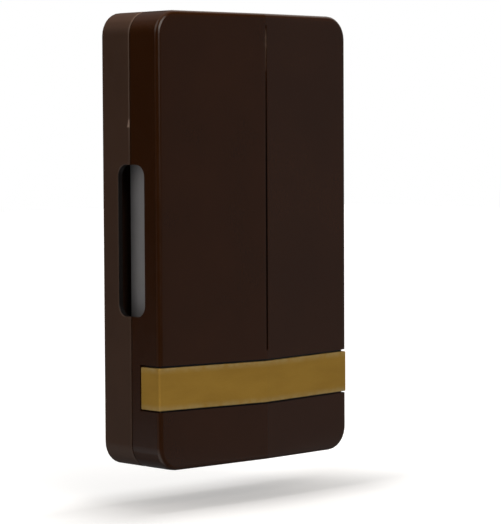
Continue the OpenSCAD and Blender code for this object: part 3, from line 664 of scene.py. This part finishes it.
def panel(line, groove_rows, shaded_channel_rows):
    """The sheet inside a closed line of the cover: each row runs straight from the left edge to the ridge and
    on to the right edge, with the band's dip growing towards the ridge and the groove sunk along it. The
    groove's lining is painted by height, dark with painted shade and paler near its top with a painted
    highlight, and the rows of the channel are painted dark with painted shade."""
    left = line[:cover.rows]
    right = line[cover.rows + cover.columns:2 * cover.rows + cover.columns][::-1]
    crest = np.column_stack([np.full(cover.rows, ridge_x), left[:, 1] + ridge_rise, left[:, 2]])
    sheet = np.concatenate([left[:, None] + (crest - left)[:, None] * left_share[:, None],
                            crest[:, None] + (right - crest)[:, None] * right_share[:, None]], 1)
    sheet[..., 2] -= band_dip * np.outer(dip, reach)
    dent = np.zeros(len(reach))
    middle = len(left_share) - 1
    dent[middle - 3:middle + 4] = groove_share + groove_share[-2::-1]
    sheet[..., 1] -= groove_d * np.outer(groove_rows, dent)
    points, faces, _ = loft(sheet, closed=False)
    groove_paint = np.interp(left[:, 2], groove_paint_z, groove_shade_and_highlight)
    return points, faces, (np.outer(groove_rows * groove_paint, dent > 0) - shaded_channel_rows[:, None]).ravel()


bend = edge_r - step
front_lines = [cover.line(step + bend * (1 - np.sin(a)), front - step - bend * (1 - np.cos(a)), rim_round)
               for a in quarter(7)]
inner_front = front - front_wall - rib_in
inner_lines = [cover.line(wall + rib_in + inner_round * (1 - np.cos(a)),
                          inner_front - inner_round * (1 - np.sin(a))) for a in quarter(4)]
seat = np.maximum(lip_seat, cover.edge)
cover_lines = [
    *front_lines,
    cover.line(step, np.maximum(channel_leg, wall_end), rim_round),
    cover.line(0, np.maximum(channel_leg, wall_end), rim_round),
    cover.line(0, np.maximum(slot_turn_depth, wall_end), rim_round),
    *cover.rim_lines(rim_round),
    cover.line(rebate_inset, cover.edge),
    cover.line(rebate_inset, seat),
    cover.line(wall, seat),
    cover.line(wall, np.maximum(slot_turn_depth, cover.edge)),
    cover.line(wall, np.maximum(rib_leg, cover.edge)),
    cover.line(wall + rib_in, np.maximum(rib_leg, cover.edge)),
    *inner_lines]
cover_rim_edge, cover_rub = slice(12, 14), 0.6
cover_wear = np.zeros(len(cover_lines))
cover_wear[cover_rim_edge] = cover_rub


def post(loop_at, tip, root, round_off):
    """A post from a closed loop: its tip rounded off, its sides straight, and both ends closed."""
    loops = [loop_at(-round_off * (1 - np.sin(a)), tip + round_off * (1 - np.cos(a))) for a in quarter(3)]
    loops.append(loop_at(0, root))
    return [loft(loops), cap(loops[0]), cap(loops[-1])]


tongue_x, tongue_z, tongue_half, tongue_tip, tongue_root = 30.0, 91.6, (6.0, 0.8), 10.4, 32.6
tongue_corner, tongue_taper, tongue_round = 0.5, 0.9, 0.4
tongue_seat_z, tongue_seat_half, tongue_seat_corner, tongue_seat_round = 91.85, (6.0, 1.05), 0.3, 0.1
peg_x, peg_boss_r, nut_seat, peg_boss_root, peg_boss_round = 32.0, 5.0, 31.4, 33.0, 0.2
# The front's groove and band channel are painted dark with painted shade, the groove's top paler with a
# painted highlight.
cover_patches = [loft(cover_lines, cover_wear), panel(front_lines[0], groove, sunk),
                 panel(inner_lines[-1], np.zeros(cover.rows), np.zeros(cover.rows))]
for x in (-tongue_x, tongue_x):
    for end in (-1, 1):
        cover_patches += post(lambda out, depth: round_rect((x, end * tongue_z), np.add(tongue_half, out),
                                                            tongue_corner + tongue_taper * out, depth),
                              tongue_tip, tongue_root, tongue_round)
        cover_patches += post(lambda out, depth: round_rect((x, end * tongue_seat_z),
                                                            np.add(tongue_seat_half, out),
                                                            tongue_seat_corner, depth),
                              lip_seat, tongue_root, tongue_seat_round)
for x in (-peg_x, peg_x):
    cover_patches += post(lambda out, depth: circle((x, band_middle), peg_boss_r + out, depth),
                          nut_seat, peg_boss_root, peg_boss_round)
front_cover = new_piece("front_cover_moulding", cover_patches)
cover_brown = moulded_brown("cover_brown", (0.036, 0.0105, 0.0018), (0.042, 0.0125, 0.0024), 0.16)
front_cover.data.materials.append(cover_brown)
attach(front_cover, "cover")
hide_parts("front_cover")


# Trim band. A strip of plastic with a satin gilt coating, moulded to the front's two planes with a short leg
# round each side; it lies in the cover's channel, just below the surface, on two pegs.
band_t, band_sink, band_leg, band_bend, band_edge, highlight_width = 1.4, 0.1, 23.3, 0.8, 0.4, 2.2
band_foot, band_top, leg_middle = -69.6, -52.0, 29.0
tuck_run, tuck_in = np.array([0.0, 0.1, 0.3]), np.array([0.25, 0.08, 0.0])
face_x, face_depth = half_width - band_sink, front_edge - band_sink
crest_depth = front_edge + ridge_rise - band_sink
leg_stops = np.concatenate([band_leg + tuck_run, [leg_middle, face_depth - band_bend]])
bend_turn = quarter(6)[1:]
front_stops = np.concatenate([np.linspace(0.04, 0.96, 10), [0.994, 1.0]])


def band_half(side):
    """Outer and inner points of one half of the band, from its leg's end to the ridge: straight leg, quarter
    bend, and a straight run up to the ridge."""
    run = side * ridge_x
    bend_x = face_x - band_bend * (1 - np.cos(bend_turn))
    bend_d = face_depth - band_bend * (1 - np.sin(bend_turn))
    front_x = bend_x[-1] + (run - bend_x[-1]) * front_stops
    front_d = bend_d[-1] + (crest_depth - bend_d[-1]) * front_stops
    out = np.concatenate([np.column_stack([np.full(len(leg_stops), face_x), leg_stops]),
                          np.column_stack([bend_x, bend_d]), np.column_stack([front_x, front_d])])
    inner_x, inner_depth = face_x - band_t, face_depth - band_t
    within = np.concatenate([
        np.column_stack([np.full(len(leg_stops), inner_x), np.minimum(leg_stops, inner_depth)]),
        np.tile([inner_x, inner_depth], (len(bend_turn), 1)),
        np.column_stack([np.minimum(front_x, inner_x), front_d - band_t])])
    return out * [side, 1], within * [side, 1]


left_out, left_in = band_half(-1)
right_out, right_in = band_half(1)
band_out = np.concatenate([left_out, right_out[-2::-1]])
band_in = np.concatenate([left_in, right_in[-2::-1]])
tuck = np.zeros(len(band_out))
tuck[:len(tuck_in)], tuck[-len(tuck_in):] = tuck_in, tuck_in[::-1]
span = np.where(band_in[:, 0] < ridge_x, ridge_x + half_width, half_width - ridge_x)
dip_here = band_dip * (1 - np.abs(band_in[:, 0] - ridge_x) / span)
arc = quarter(4)
half_share = np.concatenate([[0], 1 - band_edge / band_t * (1 - np.sin(arc)), [1]])
half_rise = np.concatenate([[0], band_edge * (1 - np.cos(arc)), [band_edge + highlight_width]])
share, rise = np.append(half_share, half_share[::-1]), np.append(half_rise, -half_rise[::-1])
upper = np.repeat([0, 1], len(share) // 2)
outward = share * (1 - tuck[:, None] / band_t)
section = band_in[:, None] + (band_out - band_in)[:, None] * outward[..., None]
foot, top = band_foot - dip_here + tuck, band_top - dip_here - tuck
height = np.where(upper, top[:, None], foot[:, None]) + rise
band_loops = np.concatenate([section, height[..., None]], -1)
# The band's edges are painted paler out over a strip on its front, a painted highlight; its tucked ends are
# rubbed.
edge_highlight, end_rub = 0.6, 1.0
painted_edge = np.append(np.full(len(arc) + 1, edge_highlight), 0.0)
band_wear_and_highlight = np.maximum(np.append(painted_edge, painted_edge[::-1]), end_rub * (tuck[:, None] > 0))
band_patches = [loft(band_loops, band_wear_and_highlight), cap(band_loops[0]), cap(band_loops[-1])]
peg_r, peg_end, peg_root, peg_round, peg_sides = 1.25, 29.3, 34.2, 0.4, 24
for x in (-peg_x, peg_x):
    band_patches += post(lambda out, depth: circle((x, band_middle), peg_r + out, depth, peg_sides),
                         peg_end, peg_root, peg_round)
trim_band = new_piece("trim_band_strip", band_patches)
gilt_coating, finish = new_finish("gilt_coating")
cloud = finish.noise(45, 4, (1, 1, 3))
grain = finish.noise(2400, 3, (0.25, 1, 1))
gilt = finish.blend(cloud, (0.47, 0.262, 0.031), (0.53, 0.302, 0.040))
# The wear pales the gilt: rubbed at the band's tucked ends, and a painted highlight along its edges.
finish.surface(grain, 0.000008,
               Base_Color=finish.blend(finish.wear() * finish.noise(300, 4, low=0.2, high=0.6),
                                       gilt, (0.60, 0.46, 0.21)),
               Roughness=0.5 + grain * 0.1, Metallic=0.3)
trim_band.data.materials.append(gilt_coating)
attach(trim_band, "cover")
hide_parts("trim_band")


# Band push nuts. Two discs stamped from spring steel, pushed over the band's pegs against the cover's bosses
# from inside, which hold the band for good.
dress(spring_steel, "band_push_nuts", edge=0.12)


# Studio. A pale floor just below the hanging box, with a small softbox overhead that casts the soft shadow,
# # and a dim surround whose patches of light shade the box and show in its gloss. The floor glows up to
# white,
# # with painted shade that makes it a little darker round the box's foot, and lends the box no light. The
# camera
# # stands where the photograph's did.
floor_mesh = bpy.data.meshes.new("studio_floor")
floor_reach, floor_height = 3.0, -0.112
floor_corners = [(x * floor_reach, y * floor_reach, floor_height)
                 for x, y in ((-1, -1), (1, -1), (1, 1), (-1, 1))]
floor_mesh.from_pydata(floor_corners, [], [(0, 1, 2, 3)])
floor = bpy.data.objects.new("studio_floor", floor_mesh)
bpy.context.scene.collection.objects.link(floor)
floor.visible_glossy = floor.visible_diffuse = floor.visible_shadow = False
softbox_at, softbox_length, softbox_width, softbox_turn = (-0.010, -0.0195, 0.45), 0.14, 0.03, 25
softbox_share, floor_tone = 0.35, 0.82
softbox_drop = softbox_at[2] - floor_height
softbox_light = bpy.data.lights.new("softbox", "AREA")
softbox_light.shape, softbox_light.size, softbox_light.size_y = "ELLIPSE", softbox_length, softbox_width
softbox_light.energy = softbox_share * math.pi ** 2 * softbox_drop ** 2 / floor_tone
softbox = bpy.data.objects.new("softbox", softbox_light)
softbox.location = softbox_at
softbox.rotation_euler = (0, 0, math.radians(softbox_turn))
softbox.visible_glossy = softbox.visible_camera = False
bpy.context.scene.collection.objects.link(softbox)
pale_floor, finish = new_finish("pale_floor")
out = finish.add("VectorMath", {"operation": "DISTANCE"},
                 {0: finish.add("TexCoord", output=3), 1: (*softbox_at[:2], floor_height)}, 1)
# The emission makes up for the softbox's fall-off: together they rise from glow_middle below it to glow_far,
# # so the floor round the box's foot is a little darker, painted shade.
spread = 1 + out * out * softbox_drop ** -2
glow_middle, glow_rise, glow_far = 0.67, 6.0, 0.77
glow = out.sum("MINIMUM", out * out * glow_rise + glow_middle, glow_far)
finish.surface(None, Base_Color=(floor_tone, floor_tone, floor_tone, 1), Roughness=0.9,
               Specular_IOR_Level=0.0, Emission_Strength=1.0,
               Emission_Color=glow - softbox_share * spread.sum("POWER", spread, -2.0))
floor_mesh.materials.append(pale_floor)

world = bpy.data.worlds.new("studio")
bpy.context.scene.world = world
world.use_nodes = True
studio = Finish(world.node_tree)
direction = studio.add("TexCoord", output=0)


def towards(azimuth, elevation, near, far, strength):
    """A soft patch of light round a direction: full within near degrees of it, gone beyond far degrees."""
    a, e = math.radians(azimuth), math.radians(elevation)
    aim = (math.sin(a) * math.cos(e), -math.cos(a) * math.cos(e), math.sin(e))
    facing = studio.add("VectorMath", {"operation": "DOT_PRODUCT"}, {0: direction, 1: aim}, 1)
    return studio.add("MapRange", {"interpolation_type": "SMOOTHSTEP"}, {
        "Value": facing, "From Min": math.cos(math.radians(far)), "From Max": math.cos(math.radians(near)),
        "To Min": 0.0, "To Max": strength})


overhead = towards(0, 90, 6, 46, 0.4)
key = towards(-8, 28, 6, 30, 3.2)
left_fill = towards(-106, 34, 6, 34, 1.1)
left_bounce = towards(-98, -46, 4, 48, 0.66)
right_fill = towards(108, 32, 6, 34, 0.9)
backdrop = towards(170, 42, 10, 42, 0.15)
right_glow = towards(66, -4, 22, 41, 0.165)
left_floor = towards(-137, -18, 10.5, 13.5, 0.20)
below = towards(0, -90, 78, 84, 0.08)
ambient = 0.008
warm = studio.add("Background", {}, {"Color": (1.0, 0.94, 0.88, 1),
                                     "Strength": overhead + key + left_fill + right_fill + left_bounce})
cool = studio.add("Background", {}, {"Color": (0.86, 0.95, 1.0, 1),
                                     "Strength": right_glow + left_floor + below + backdrop + ambient})
lit = studio.add("AddShader", {}, {0: warm, 1: cool})
# The camera sees plain white behind the floor, and every other ray sees the patches of light.
ray = studio.add("LightPath")
white = studio.add("Background", {}, {"Color": (1, 1, 1, 1), "Strength": 1.0})
studio.add("OutputWorld", {}, {"Surface": studio.add("MixShader", {}, {0: ray, 1: lit, 2: white})})

azimuth, elevation, roll = (math.radians(angle) for angle in (-43.527, 3.116, -0.291))
back = Vector((math.sin(azimuth) * math.cos(elevation), -math.cos(azimuth) * math.cos(elevation),
               math.sin(elevation)))
level = Vector((0, 0, 1)).cross(back).normalized()
upright = back.cross(level)
right = math.cos(roll) * level + math.sin(roll) * upright
up = math.cos(roll) * upright - math.sin(roll) * level
camera_data = bpy.data.cameras.new("camera")
camera_data.lens, camera_data.sensor_width, camera_data.clip_start = 163.9, 36.0, 0.01
camera = bpy.data.objects.new("camera", camera_data)
bpy.context.scene.collection.objects.link(camera)
camera_at = (-0.69886, -0.76743, 0.0448)
camera.matrix_world = Matrix.Translation(camera_at) @ Matrix((right, up, back)).transposed().to_4x4()
bpy.context.scene.camera = camera
bpy.context.scene.view_settings.view_transform = "Standard"
